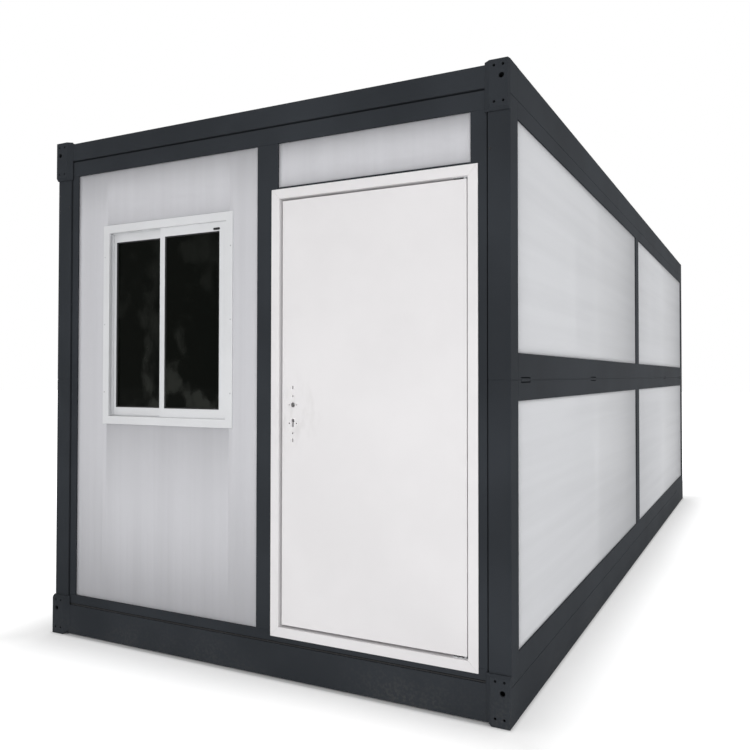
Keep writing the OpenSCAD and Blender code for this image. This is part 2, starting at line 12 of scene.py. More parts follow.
import bmesh
import bpy
import numpy as np
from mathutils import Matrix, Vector


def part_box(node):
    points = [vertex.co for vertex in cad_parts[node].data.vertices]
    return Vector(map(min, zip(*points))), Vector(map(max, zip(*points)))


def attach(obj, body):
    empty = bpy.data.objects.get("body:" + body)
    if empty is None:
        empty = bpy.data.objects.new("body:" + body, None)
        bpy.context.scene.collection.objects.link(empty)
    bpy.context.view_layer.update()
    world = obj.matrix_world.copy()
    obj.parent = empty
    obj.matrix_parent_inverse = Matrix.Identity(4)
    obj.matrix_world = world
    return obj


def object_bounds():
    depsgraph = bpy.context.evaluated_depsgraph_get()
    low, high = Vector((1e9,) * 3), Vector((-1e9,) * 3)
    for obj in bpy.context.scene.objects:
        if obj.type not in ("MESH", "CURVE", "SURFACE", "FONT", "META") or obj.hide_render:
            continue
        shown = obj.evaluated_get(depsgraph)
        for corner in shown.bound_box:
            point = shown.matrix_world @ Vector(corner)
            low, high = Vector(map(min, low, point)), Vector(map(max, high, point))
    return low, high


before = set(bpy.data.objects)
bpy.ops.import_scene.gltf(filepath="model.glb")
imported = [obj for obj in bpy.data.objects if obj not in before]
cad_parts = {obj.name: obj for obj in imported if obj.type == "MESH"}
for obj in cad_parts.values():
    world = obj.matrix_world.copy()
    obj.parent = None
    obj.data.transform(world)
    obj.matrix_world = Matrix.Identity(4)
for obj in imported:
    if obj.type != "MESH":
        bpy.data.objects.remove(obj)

LOG = logging.getLogger("house")
MM = 0.001
SKIN_BASE = 0.6 * MM  # height of a skin's grooves over the face of its board
CAD_BOX = [[float(value) for value in corner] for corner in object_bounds()]

SKIN_SHEET = 0.5 * MM  # thickness of a board's steel skin
SKIN_CREASE = 20.0  # degrees past which a fold in a skin stays sharp
CEILING_PANEL = 0.94  # width of a ceiling panel along the house
LOCK_IN = 56 * MM  # lock holes from the leaf's free edge
LOCK_UP = 928 * MM  # lock holes from the leaf's foot

Colour = Tuple[float, float, float]
Point = Tuple[float, float, float]

EAST: Point = (1.0, 0.0, 0.0)
NORTH: Point = (0.0, 1.0, 0.0)
SOUTH: Point = (0.0, -1.0, 0.0)
UP: Point = (0.0, 0.0, 1.0)


class Body(str, Enum):
    """The bodies that a piece can ride on."""

    FRAME = "frame"
    FRONT_WALL = "front_wall"
    DOOR = "door"


class Run(Enum):
    """The way that a board's shallow ribs run, as the axis that they follow."""

    ALONG = "Y"
    UP = "Z"


class Side(Enum):
    """A side wall, with its sign along X."""

    LEFT = -1
    RIGHT = 1


# ---------- shader maths ----------


class Link:
    """One output of a node, which Python's operators carry on through Math nodes."""

    def __init__(self, graph: "Graph", socket: bpy.types.NodeSocket) -> None:
        """Keeps the graph and the output socket."""
        self.graph = graph
        self.socket = socket

    def __add__(self, other: "Term") -> "Link":
        """This plus other."""
        return self.graph.maths("ADD", self, other)

    def __sub__(self, other: "Term") -> "Link":
        """This minus other."""
        return self.graph.maths("SUBTRACT", self, other)

    def __rsub__(self, other: "Term") -> "Link":
        """Other minus this."""
        return self.graph.maths("SUBTRACT", other, self)

    def __mul__(self, other: "Term") -> "Link":
        """This times other."""
        return self.graph.maths("MULTIPLY", self, other)

    def __truediv__(self, other: "Term") -> "Link":
        """This divided by other."""
        return self.graph.maths("DIVIDE", self, other)

    def __abs__(self) -> "Link":
        """This without its sign."""
        return self.graph.maths("ABSOLUTE", self)

    __radd__ = __add__
    __rmul__ = __mul__

    def ease(self, low: float, high: float) -> "Link":
        """Rises smoothly from 0 at low to 1 at high, or falls if low is the greater.

        Args:
            low: value where the result is 0.
            high: value where the result is 1.

        Returns:
            The eased value.
        """
        swap = low > high
        rise = self.graph.node(
            "ShaderNodeMapRange",
            {"interpolation_type": "SMOOTHSTEP"},
            {"Value": self, "From Min": min(low, high), "From Max": max(low, high)},
        )
        return 1 - rise if swap else rise


Term = Union[Link, float, int]


class Graph:
    """The node tree of one material or world, and the calls that add nodes to it."""

    def __init__(self, owner: Union[bpy.types.Material, bpy.types.World]) -> None:
        """Empties the owner's node tree and keeps it.

        Args:
            owner: material or world whose nodes are made here.
        """
        owner.use_nodes = True
        self.tree = owner.node_tree
        self.tree.nodes.clear()

    def node(
        self,
        kind: str,
        settings: Optional[Dict[str, Any]] = None,
        inputs: Optional[Dict[Union[str, int], Any]] = None,
        outlet: Union[str, int] = 0,
    ) -> Link:
        """Adds a node.

        Args:
            kind: the node's type.
            settings: its properties, set first; "stops" are a ramp's (place, colour) pairs.
            inputs: values or links of its sockets, by name or place.
            outlet: the output that is handed back.

        Returns:
            The chosen output.
        """
        made = self.tree.nodes.new(kind)
        for name, value in (settings or {}).items():
            if name == "stops":
                ramp = made.color_ramp
                while len(ramp.elements) < len(value):
                    ramp.elements.new(1.0)
                for stop, (place, colour) in zip(ramp.elements, value):
                    stop.position, stop.color = place, (*colour, 1.0)
            else:
                setattr(made, name, value)
        for name, value in (inputs or {}).items():
            socket = made.inputs[name]
            if isinstance(value, Link):
                self.tree.links.new(value.socket, socket)
            elif isinstance(value, tuple) and socket.type == "RGBA":
                socket.default_value = (*value, 1.0)
            else:
                socket.default_value = value
        return Link(self, made.outputs[outlet] if made.outputs else None)

    def maths(self, operation: str, *terms: Term) -> Link:
        """Adds a Math node on the terms, in their order."""
        return self.node("ShaderNodeMath", {"operation": operation}, dict(enumerate(terms)))

    def blend(self, factor: Term, first: Union[Link, Colour], second: Union[Link, Colour]) -> Link:
        """Colour that goes from first at factor 0 to second at factor 1."""
        return self.node("ShaderNodeMix", {"data_type": "RGBA"}, {0: factor, 6: first, 7: second}, 2)

    def mottle(self, cloud: Link, tone: Colour, dark: float, light: float) -> Link:
        """Tone that a cloud varies between dark and light times itself."""
        return self.blend(cloud.ease(0.3, 0.7), tinted(tone, dark), tinted(tone, light))

    def place(self, stretch: Point = (1.0, 1.0, 1.0)) -> Link:
        """Object coordinates in metres, each axis times its stretch."""
        at = self.node("ShaderNodeTexCoord", outlet="Object")
        return self.node("ShaderNodeMapping", {}, {"Vector": at, "Scale": stretch})

    def axis(self, letter: str) -> Link:
        """One object coordinate in metres: X, Y or Z."""
        return self.node("ShaderNodeSeparateXYZ", {}, {0: self.place()}, letter)

    def noise(self, scale: float, stretch: Point = (1.0, 1.0, 1.0), detail: float = 2.0) -> Link:
        """Soft noise from 0 to 1.

        Args:
            scale: blotches to a metre, roughly.
            stretch: more than 1 packs the blotches along an axis, less draws them out.
            detail: octaves of finer noise.

        Returns:
            The noise's value.
        """
        return self.node(
            "ShaderNodeTexNoise", {}, {"Vector": self.place(stretch), "Scale": scale, "Detail": detail}
        )

    def relief(self, height: Link, depth: float, strength: float = 1.0, under: Optional[Link] = None) -> Link:
        """Normal of a surface raised by height.

        Args:
            height: relief from 0 to 1.
            depth: what a height of 1 stands for, in metres.
            strength: how much of it is shown.
            under: normal of a coarser relief below this one.

        Returns:
            The normal.
        """
        inputs: Dict[Union[str, int], Any] = {"Height": height, "Distance": depth, "Strength": strength}
        if under is not None:
            inputs["Normal"] = under
        return self.node("ShaderNodeBump", {}, inputs)

    def shade(self, **inputs: Any) -> None:
        """Ends the material in a Principled shader.

        Args:
            inputs: its sockets by name, with an underscore for each space.
        """
        named = {name.replace("_", " "): value for name, value in inputs.items()}
        shader = self.node("ShaderNodeBsdfPrincipled", {}, named)
        self.node("ShaderNodeOutputMaterial", {}, {"Surface": shader})


def screen(red: float, green: float, blue: float) -> Colour:
    """Linear colour of three screen levels from 0 to 255.

    Each level over 255 is undone by the screen's curve: a straight part near black, a power of 2.4 above.

    Args:
        red: screen level of red.
        green: screen level of green.
        blue: screen level of blue.

    Returns:
        The linear colour.
    """
    level = np.array([red, green, blue]) / 255
    curve = np.where(level <= 0.04045, level / 12.92, ((level + 0.055) / 1.055) ** 2.4)
    return (float(curve[0]), float(curve[1]), float(curve[2]))


def tinted(colour: Colour, factor: float) -> Colour:
    """The colour made lighter or darker by a factor."""
    return (colour[0] * factor, colour[1] * factor, colour[2] * factor)


# ---------- finishes ----------


@dataclass(frozen=True)
class Finish:
    """What all finishes share: a name and the record's slot they belong to."""

    name: str
    slot: str
    made: ClassVar[Dict[str, bpy.types.Material]] = {}

    def material(self) -> bpy.types.Material:
        """The finish's material, made at its first use.

        Returns:
            The material.
        """
        if self.name not in Finish.made:
            material = bpy.data.materials.new(self.name)
            self.paint(Graph(material))
            Finish.made[self.name] = material
        return Finish.made[self.name]

    def paint(self, graph: Graph) -> None:
        """Fills the material's nodes."""
        raise NotImplementedError


@dataclass(frozen=True)
class FramePaint(Finish):
    """Satin anthracite powder coat on steel, a little dusty near the ground."""

    tone: Colour = screen(49, 52, 56)
    dust: Colour = screen(86, 84, 80)
    grain: float = 420.0

    def paint(self, graph: Graph) -> None:
        """Cloudy tone, dust low down, and the fine orange peel of sprayed powder.

        Args:
            graph: the material\'s nodes.
        """
        cloud = graph.noise(1.7, detail=3.0)
        speck = graph.noise(95.0, detail=2.0)
        tone = graph.mottle(cloud, self.tone, 0.86, 1.14)
        low = graph.axis("Z").ease(0.2, 0.0) * cloud.ease(0.35, 0.75)
        dusty = graph.blend(low * speck.ease(0.4, 0.7) * 0.35, tone, self.dust)
        peel = graph.noise(self.grain, detail=1.0)
        wave = graph.noise(9.0, detail=1.0)
        normal = graph.relief(peel, 0.00012, 0.35, graph.relief(wave, 0.0008, 0.25))
        graph.shade(
            Base_Color=dusty,
            Roughness=0.66 + cloud * 0.10 + speck * 0.06,
            Specular_IOR_Level=0.04,
            Normal=normal,
        )


@dataclass(frozen=True)
class BoardSkin(Finish):
    """White coated steel skin of an insulated board, whose gentle waves follow its ribs."""

    tone: Colour = screen(212, 213, 216)
    run: Run = Run.UP
    gloss: float = 0.05

    def paint(self, graph: Graph) -> None:
        """Faint clouding drawn out along the ribs, rolled waves, and a thin clear coat.

        Args:
            graph: the material\'s nodes.
        """
        drawn = (1.0, 0.03, 1.0) if self.run is Run.ALONG else (1.0, 1.0, 0.03)
        streak = graph.noise(14.0, drawn, 3.0)
        cloud = graph.noise(1.1, detail=2.0)
        tone = graph.mottle(streak, self.tone, 0.975, 1.02)
        soiled = graph.blend(cloud.ease(0.45, 0.85) * 0.10, tone, tinted(self.tone, 0.86))
        peel = graph.noise(600.0, detail=0.0)
        normal = graph.relief(peel, 0.00006, 0.25, graph.relief(streak, 0.0012, 0.25))
        graph.shade(
            Base_Color=soiled,
            Roughness=0.62 + cloud * 0.12,
            Specular_IOR_Level=0.05,
            Coat_Weight=self.gloss + 0.04 * cloud,
            Coat_Roughness=0.09,
            Normal=normal,
        )


@dataclass(frozen=True)
class DoorPaint(Finish):
    """White powder coat, with the faint marks of hands round the lock."""

    lock: Point
    tone: Colour = screen(225, 223, 224)

    def paint(self, graph: Graph) -> None:
        """Even white with a slight cloud, a soft smudge near the lock and orange peel.

        Args:
            graph: the material\'s nodes.
        """
        cloud = graph.noise(2.3, detail=3.0)
        smear = graph.noise(26.0, (1.0, 1.0, 0.4), 4.0)
        away = graph.node(
            "ShaderNodeVectorMath", {"operation": "DISTANCE"}, {0: graph.place(), 1: self.lock}, "Value"
        )
        touched = away.ease(0.22, 0.04) * smear.ease(0.45, 0.75)
        tone = graph.mottle(cloud, self.tone, 0.97, 1.02)
        marked = graph.blend(touched * 0.16, tone, screen(150, 146, 140))
        peel = graph.noise(380.0, detail=1.0)
        graph.shade(
            Base_Color=marked,
            Roughness=0.38 + cloud * 0.08 + touched * 0.1,
            Specular_IOR_Level=0.35,
            Normal=graph.relief(peel, 0.00009, 0.3),
        )


@dataclass(frozen=True)
class WindowTrim(Finish):
    """White coated aluminium extrusion, with fine lines along its length."""

    tone: Colour = screen(214, 215, 217)

    def paint(self, graph: Graph) -> None:
        """Even pale grey, die lines too fine to count, and a satin coat.

        Args:
            graph: the material\'s nodes.
        """
        lines = graph.noise(240.0, (1.0, 1.0, 0.02), 2.0)
        cloud = graph.noise(3.0, detail=2.0)
        tone = graph.mottle(cloud, self.tone, 0.96, 1.02)
        graph.shade(
            Base_Color=tone,
            Roughness=0.30 + lines * 0.12,
            Specular_IOR_Level=0.4,
            Normal=graph.relief(lines, 0.00005, 0.25),
        )


@dataclass(frozen=True)
class PaneGlass(Finish):
    """Pane as a near-black, almost opaque sheet, its dark colour painted shade of the dim room behind; pale
    patches, thicker towards the lower edge, are painted reflections mixed with a dull layer of dust.
    """

    foot: float
    # near-black and almost opaque: painted shade of the dim room behind the pane
    tone: Colour = (0.0028, 0.0035, 0.0026)
    clear: float = 0.94
    patch_h: float = 586 * MM
    patch_sunk: float = 14 * MM

    def paint(self, graph: Graph) -> None:
        """Near-black painted shade, a slow ripple, and pale patches of painted reflection that are also
        duller and less clear as dust.

        Args:
            graph: the material\'s nodes.
        """
        ripple = graph.noise(2.2, detail=1.0)
        patches = graph.noise(5.5, (1.0, 1.0, 0.8), 6.0)
        low = graph.axis("Z").ease(self.foot + self.patch_h, self.foot - self.patch_sunk)
        # pale patches, thicker towards the lower edge: painted reflections, also a dull layer of dust
        reflection_and_dust = patches.ease(0.5, 0.62) * (0.3 + 0.7 * low)
        graph.shade(
            Base_Color=graph.blend(reflection_and_dust * 0.35, self.tone, screen(66, 68, 64)),
            Roughness=0.03 + reflection_and_dust * 0.16,
            Specular_IOR_Level=0.02,
            Alpha=self.clear + reflection_and_dust * 0.04,
            Normal=graph.relief(ripple, 0.0015, 0.12),
        )


@dataclass(frozen=True)
class Rubber(Finish):
    """Matt sealing rubber, greyed where dust clings."""

    tone: Colour = screen(38, 38, 39)

    def paint(self, graph: Graph) -> None:
        """Dusty mottling over near-black, with the fine tooth of moulded rubber.

        Args:
            graph: the material\'s nodes.
        """
        dust = graph.noise(60.0, detail=4.0)
        tooth = graph.noise(900.0, detail=0.0)
        graph.shade(
            Base_Color=graph.blend(dust.ease(0.4, 0.8) * 0.5, self.tone, tinted(self.tone, 1.6)),
            Roughness=0.72 + dust * 0.15,
            Specular_IOR_Level=0.3,
            Normal=graph.relief(tooth, 0.00008, 0.4),
        )


@dataclass(frozen=True)
class Zinc(Finish):
    """Galvanised steel with the patchy crystals of hot-dipped zinc."""

    tone: Colour = (0.46, 0.47, 0.48)
    crystals: float = 70.0

    def paint(self, graph: Graph) -> None:
        """Each crystal cell has its own grey and gloss.

        Args:
            graph: the material\'s nodes.
        """
        cell = graph.node(
            "ShaderNodeTexVoronoi", {}, {"Vector": graph.place(), "Scale": self.crystals}, "Color"
        )
        shade = graph.node("ShaderNodeSeparateColor", {}, {0: cell}, 0)
        stain = graph.noise(11.0, detail=4.0)
        tone = graph.blend(shade, tinted(self.tone, 0.78), tinted(self.tone, 1.18))
        graph.shade(
            Base_Color=graph.blend(stain.ease(0.5, 0.85) * 0.3, tone, screen(150, 148, 144)),
            Metallic=0.9,
            Roughness=0.34 + shade * 0.14 + stain * 0.08,
            Normal=graph.relief(shade, 0.0001, 0.2),
        )


@dataclass(frozen=True)
class FloorPly(Finish):
    """Floor of sealed boards laid across the joists, with fine joints."""

    tone: Colour = screen(178, 160, 134)
    board: float = 1.22

    def paint(self, graph: Graph) -> None:
        """Grain drawn out across the house, a tone for each board, and a joint every board width.

        Args:
            graph: the material\'s nodes.
        """
        grain = graph.noise(46.0, (0.05, 1.0, 1.0), 5.0)
        along = graph.axis("Y") / self.board
        number = graph.maths("FLOOR", along)
        own = graph.node("ShaderNodeTexWhiteNoise", {"noise_dimensions": "1D"}, {"W": number})
        joint = abs(graph.maths("FRACT", along) - 0.5).ease(0.497, 0.4995)
        wood = graph.mottle(grain, self.tone, 0.72, 1.1)
        toned = graph.blend(own * 0.25, wood, tinted(self.tone, 0.7))
        graph.shade(
            Base_Color=graph.blend(joint, toned, tinted(self.tone, 0.25)),
            Roughness=0.5 + grain * 0.2,
            Specular_IOR_Level=0.4,
            Normal=graph.relief(grain * 0.3 - joint, 0.001, 0.35),
        )


@dataclass(frozen=True)
class CeilingBoard(Finish):
    """White ceiling panels, matt, with a joint every panel width."""

    tone: Colour = screen(222, 222, 220)
    panel: float = CEILING_PANEL

    def paint(self, graph: Graph) -> None:
        """Even white with a stipple and fine joints across the house.

        Args:
            graph: the material\'s nodes.
        """
        stipple = graph.noise(160.0, detail=2.0)
        joint = abs(graph.maths("FRACT", graph.axis("Y") / self.panel) - 0.5).ease(0.496, 0.4995)
        cloud = graph.noise(1.5, detail=3.0)
        tone = graph.blend(cloud.ease(0.3, 0.75), self.tone, tinted(self.tone, 0.93))
        graph.shade(
            Base_Color=graph.blend(joint, tone, tinted(self.tone, 0.5)),
            Roughness=0.62 + stipple * 0.1,
            Normal=graph.relief(stipple * 0.2 - joint, 0.001, 0.3),
        )


@dataclass(frozen=True)
class RoofPaint(Finish):
    """Painted roof sheet, dulled by weather and with dust washed into its valleys."""

    valley: float
    tone: Colour = screen(62, 64, 68)
    dust: Colour = screen(128, 124, 116)

    def paint(self, graph: Graph) -> None:
        """Weathered tone, and dust that lies low in the valleys and runs to the sides.

        Args:
            graph: the material\'s nodes.
        """
        cloud = graph.noise(3.1, detail=4.0)
        run = graph.noise(18.0, (0.15, 1.0, 1.0), 3.0)
        low = graph.axis("Z").ease(self.valley + 0.012, self.valley)
        tone = graph.mottle(cloud, self.tone, 0.85, 1.15)
        graph.shade(
            Base_Color=graph.blend(low * run.ease(0.35, 0.8) * 0.45, tone, self.dust),
            Roughness=0.48 + cloud * 0.18,
            Specular_IOR_Level=0.35,
            Normal=graph.relief(run, 0.0006, 0.2),
        )


@dataclass(frozen=True)
class Foam(Finish):
    """Cut edge of a board's insulating core."""

    tone: Colour = screen(214, 206, 180)

    def paint(self, graph: Graph) -> None:
        """Small open cells in a pale body.

        Args:
            graph: the material\'s nodes.
        """
        cell = graph.node("ShaderNodeTexVoronoi", {}, {"Vector": graph.place(), "Scale": 420.0}, "Distance")
        graph.shade(
            Base_Color=graph.blend(cell.ease(0.0, 0.5), tinted(self.tone, 0.6), self.tone),
            Roughness=0.85 - cell * 0.1,
            Normal=graph.relief(cell, 0.0004, 0.5),
        )


def lock_place() -> Point:
    """Place of the lock holes on the leaf's face, from its free edge and its foot."""
    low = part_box("door_leaf")[0]
    return (low.x + LOCK_IN, low.y, low.z + LOCK_UP)


FRAME_PAINT = FramePaint("frame_paint", "steel_frame")
UPRIGHT_SKIN = BoardSkin("board_skin_upright", "wall_board", tone=screen(200, 200, 204), run=Run.UP)
LEVEL_SKIN = BoardSkin("board_skin_level", "wall_board", run=Run.ALONG, gloss=0.10)
DOOR_PAINT = DoorPaint("door_paint", "door_white", lock_place())
WINDOW_TRIM = WindowTrim("window_trim_paint", "window_trim")
PANE_GLASS = PaneGlass("pane_glass", "pane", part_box("window_glass")[0].z)
RUBBER = Rubber("seal_rubber", "seal")
PALE_RUBBER = Rubber("pale_rubber", "seal", tone=screen(196, 196, 197))
ZINC = Zinc("zinc", "galvanised")
FLOOR_PLY = FloorPly("floor_ply", "floor_board")
CEILING_BOARD = CeilingBoard("ceiling_panel", "ceiling_board")
ROOF_PAINT = RoofPaint("roof_paint", "roof_sheet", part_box("roof_sheet")[0].z)
FOAM = Foam("board_core", "wall_board")


# ---------- surfaces ----------


class Surface(NamedTuple):
    """Points, shaped (n, 3), and the quads that join them, shaped (m, 4)."""

    points: np.ndarray
    quads: np.ndarray


def joined(surfaces: Sequence[Surface]) -> Surface:
    """One surface from several: each one's quads are counted on from the points before it.

    Args:
        surfaces: the surfaces, in order.

    Returns:
        The one surface.
    """
    starts = np.cumsum([0] + [len(one.points) for one in surfaces[:-1]])
    return Surface(
        np.concatenate([one.points for one in surfaces]),
        np.concatenate([one.quads + start for one, start in zip(surfaces, starts)]),
    )


def copies(shape: Surface, places: np.ndarray) -> Surface:
    """Copies of a shape: each place is added to the shape's points.

    Args:
        shape: the surface that is repeated.
        places: shaped (k, 3).

    Returns:
        All the copies as one surface.
    """
    count = len(shape.points)
    points = (places[:, None, :] + shape.points[None]).reshape(-1, 3)
    quads = (np.arange(len(places))[:, None, None] * count + shape.quads[None]).reshape(-1, 4)
    return Surface(points, quads)


def lattice(x: Sequence[float], y: Sequence[float], z: Sequence[float]) -> np.ndarray:
    """Every place with one of the X, one of the Y and one of the Z, shaped (k, 3)."""
    return np.stack(np.meshgrid(x, y, z, indexing="ij"), axis=-1).reshape(-1, 3)


def fronted(shape: Surface) -> Surface:
    """A shape turned so that its own Z points out of the front of the house, and its X along +X."""
    axes = np.array([EAST, np.cross(SOUTH, EAST), SOUTH])
    return Surface(shape.points @ axes, shape.quads)


def rings(loops: np.ndarray, closed: bool = False) -> Surface:
    """Skin over a row of loops.

    Point j of loop i joins point j + 1 of its own loop and the same two of loop i + 1. The row either
    closes on itself, or each end is closed by a fan to the middle of its last loop.

    Args:
        loops: points shaped (loop, point, 3).
        closed: whether the last loop joins the first.

    Returns:
        The closed surface.
    """
    if not closed:
        ends = loops[[0, -1]].mean(axis=1, keepdims=True).repeat(loops.shape[1], axis=1)
        loops = np.concatenate([ends[:1], loops, ends[1:]])
    count, width = loops.shape[:2]
    i = np.arange(count if closed else count - 1)[:, None]
    j = np.arange(width)[None, :]
    after, beside = (i + 1) % count, (j + 1) % width
    corners = [i * width + j, i * width + beside, after * width + beside, after * width + j]
    return Surface(loops.reshape(-1, 3), np.stack(corners, axis=-1).reshape(-1, 4))


def lathe(profile: Sequence[Tuple[float, float]], sides: int) -> Surface:
    """Solid of revolution about its own Z.

    At angle t a profile point (radius, height) stands at (radius cos t, radius sin t, height).

    Args:
        profile: radius and height from one end to the other, in metres.
        sides: points round each circle.

    Returns:
        The closed solid.
    """
    line = np.array(profile)
    t = np.arange(sides) * 2 * math.pi / sides
    circle = np.stack([np.cos(t), np.sin(t)], axis=-1)
    flat = line[:, None, :1] * circle[None]
    height = np.broadcast_to(line[:, None, 1:], (len(line), sides, 1))
    return rings(np.concatenate([flat, height], axis=-1))


def rounded(width: float, height: float, radius: float) -> np.ndarray:
    """Outline of a rectangle with round corners, centred on the origin.

    Each corner is a quarter circle of three spans, about a centre set in from both sides by the radius.

    Args:
        width: full size along the first axis.
        height: full size along the second axis.
        radius: radius of the corners.

    Returns:
        Points shaped (n, 2), anticlockwise.
    """
    t = np.linspace(0, math.pi / 2, 4)
    quarter = np.arange(4)[:, None] * math.pi / 2
    arc = np.stack([np.cos(t + quarter), np.sin(t + quarter)], axis=-1) * radius
    sign = np.array([[1, 1], [-1, 1], [-1, -1], [1, -1]])
    centre = sign * np.array([width / 2 - radius, height / 2 - radius])
    return (centre[:, None, :] + arc).reshape(-1, 2)


def pad(width: float, depth: float, height: float, radius: float, edge: float) -> Surface:
    """Flat block with round corners and a rounded upper edge.

    The outline rises straight, then draws in along a quarter circle: at angle t it is inset by
    edge (1 - cos t) at a height of edge sin t above the straight part.

    Args:
        width: size along its X.
        depth: size along its Y.
        height: size along its Z.
        radius: radius of the corners seen from above.
        edge: radius of the upper edge.

    Returns:
        The closed block, standing on its own Z = 0.
    """
    t = np.linspace(0, math.pi / 2, 3)
    inset = np.concatenate([[0.0], edge * (1 - np.cos(t))])
    level = np.concatenate([[0.0], height - edge + edge * np.sin(t)])
    outline = rounded(width, depth, radius)
    scale = 1 - 2 * inset[:, None] / np.array([width, depth])
    flat = outline[None] * scale[:, None, :]
    rise = np.broadcast_to(level[:, None, None], (len(level), len(outline), 1))
    return rings(np.concatenate([flat, rise], axis=-1))


def surround(section: Sequence[Tuple[float, float]], low: Point, high: Point) -> Surface:
    """A section carried round a rectangle in the XZ plane, mitred at its corners.

    A section point (out, back) stands outside the rectangle by out on both sides of each corner, and
    behind its plane by back.

    Args:
        section: closed outline as (out, back) pairs, in metres.
        low: corner of the rectangle with the least X and Z; its Y is the plane.
        high: opposite corner.

    Returns:
        The closed ring.
    """
    line = np.array(section)
    sign = np.array([[-1, -1], [1, -1], [1, 1], [-1, 1]])
    corner = np.where(sign < 0, [low[0], low[2]], [high[0], high[2]])
    flat = corner[:, None, :] + sign[:, None, :] * line[None, :, :1]
    back = np.broadcast_to(low[1] + line[None, :, 1:], (4, len(line), 1))
    return rings(np.concatenate([flat[..., :1], back, flat[..., 1:]], axis=-1), closed=True)


def strip(section: np.ndarray, start: Point, end: Point, side: Point) -> Surface:
    """A convex section carried along a straight line.

    Args:
        section: outline shaped (n, 2), as distances to the side and across.
        start: first end of the line.
        end: last end of the line.
        side: direction of the section's first axis.

    Returns:
        The closed bar.
    """
    path = np.array([start, end], dtype=float)
    along = path[1] - path[0]
    across = np.cross(along / np.linalg.norm(along), side)
    offset = section[:, :1] * np.array(side) + section[:, 1:] * across
    return rings(path[:, None, :] + offset[None])


def ribbed(
    low: Tuple[float, float],
    high: Tuple[float, float],
    pitch: float,
    depth: float,
    hole: Optional[Tuple[float, float, float, float]] = None,
) -> Tuple[np.ndarray, np.ndarray]:
    """Sheet with shallow flat-bottomed grooves, drawn flat.

    The sheet stands at its base height plus its depth, and at each pitch it falls to the base height
    over 3 mm, stays there for 6 mm and rises again. Across is the first axis, the grooves follow the
    second.

    Args:
        low: least place across and along.
        high: greatest place across and along.
        pitch: distance between ribs.
        depth: depth of a groove.
        hole: rectangle left out, as least and greatest across, least and greatest along.

    Returns:
        Points shaped (n, 3) as across, along and height, and quads shaped (m, 4).
    """
    count = max(int((high[0] - low[0]) / pitch), 1)
    middle = (low[0] + high[0]) / 2 + (np.arange(count) - (count - 1) / 2) * pitch
    fall = np.array([-0.006, -0.003, 0.003, 0.006])
    across = np.sort((middle[:, None] + fall).ravel())
    level = np.tile([1.0, 0.0, 0.0, 1.0], count) * depth + SKIN_BASE
    cuts = [low[0], high[0]] + ([hole[0], hole[1]] if hole else [])
    every = np.unique(np.concatenate([across, cuts]))
    height = np.interp(every, across, level)
    along = np.unique([low[1], high[1]] + ([hole[2], hole[3]] if hole else []))
    grid = np.stack(np.meshgrid(every, along, indexing="ij"), axis=-1)
    rise = np.broadcast_to(height[:, None, None], (*grid.shape[:2], 1))
    points = np.concatenate([grid, rise], axis=-1)
    i, j = np.meshgrid(np.arange(len(every) - 1), np.arange(len(along) - 1), indexing="ij")
    width = len(along)
    quads = np.stack([i * width + j, (i + 1) * width + j, (i + 1) * width + j + 1, i * width + j + 1], -1)
    kept = np.ones(i.shape, bool)
    if hole:
        inside = (every[:-1] >= hole[0] - 1e-6) & (every[1:] <= hole[1] + 1e-6)
        kept = ~(inside[:, None] & ((along[:-1] >= hole[2] - 1e-6) & (along[1:] <= hole[3] + 1e-6))[None])
    return points.reshape(-1, 3), quads[kept]


def laid(flat: Tuple[np.ndarray, np.ndarray], across: Point, along: Point, at: Point) -> Surface:
    """A flat drawing laid on a face.

    A point is across times its first number, plus along times its second, plus the face's outward
    direction times its height; the outward direction is across turned towards along.

    Args:
        flat: points as across, along and height, and quads.
        across: direction of the first number.
        along: direction of the second number.
        at: a point of the face where both numbers are 0.

    Returns:
        The surface, facing outwards.
    """
    axes = np.array([across, along, np.cross(across, along)], dtype=float)
    return Surface(flat[0] @ axes + np.array(at), flat[1])


def solids(node: str) -> np.ndarray:
    """Boxes of a node's separate solids.

    Corners at one place are one point, and each point takes the least label found on its triangles,
    over and over, until the labels settle.

    Args:
        node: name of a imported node.

    Returns:
        Lowest and highest corners shaped (solid, 2, 3), in order of their lowest corners.
    """
    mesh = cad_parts[node].data
    place = np.empty(len(mesh.vertices) * 3, np.float32)
    mesh.vertices.foreach_get("co", place)
    corner = np.empty(len(mesh.loops), np.int32)
    mesh.loops.foreach_get("vertex_index", corner)
    spots, number = np.unique(np.round(place.reshape(-1, 3), 5), axis=0, return_inverse=True)
    faces = number.ravel()[corner].reshape(-1, 3)
    label = np.arange(len(spots))
    while True:
        least = label.copy()
        np.minimum.at(least, faces, label[faces].min(axis=1)[:, None])
        if (least == label).all():
            break
        label = least
    found = [[spots[label == one].min(0), spots[label == one].max(0)] for one in np.unique(label)]
    return np.array(sorted(found, key=lambda pair: tuple(pair[0])), dtype=float)


# ---------- pieces ----------


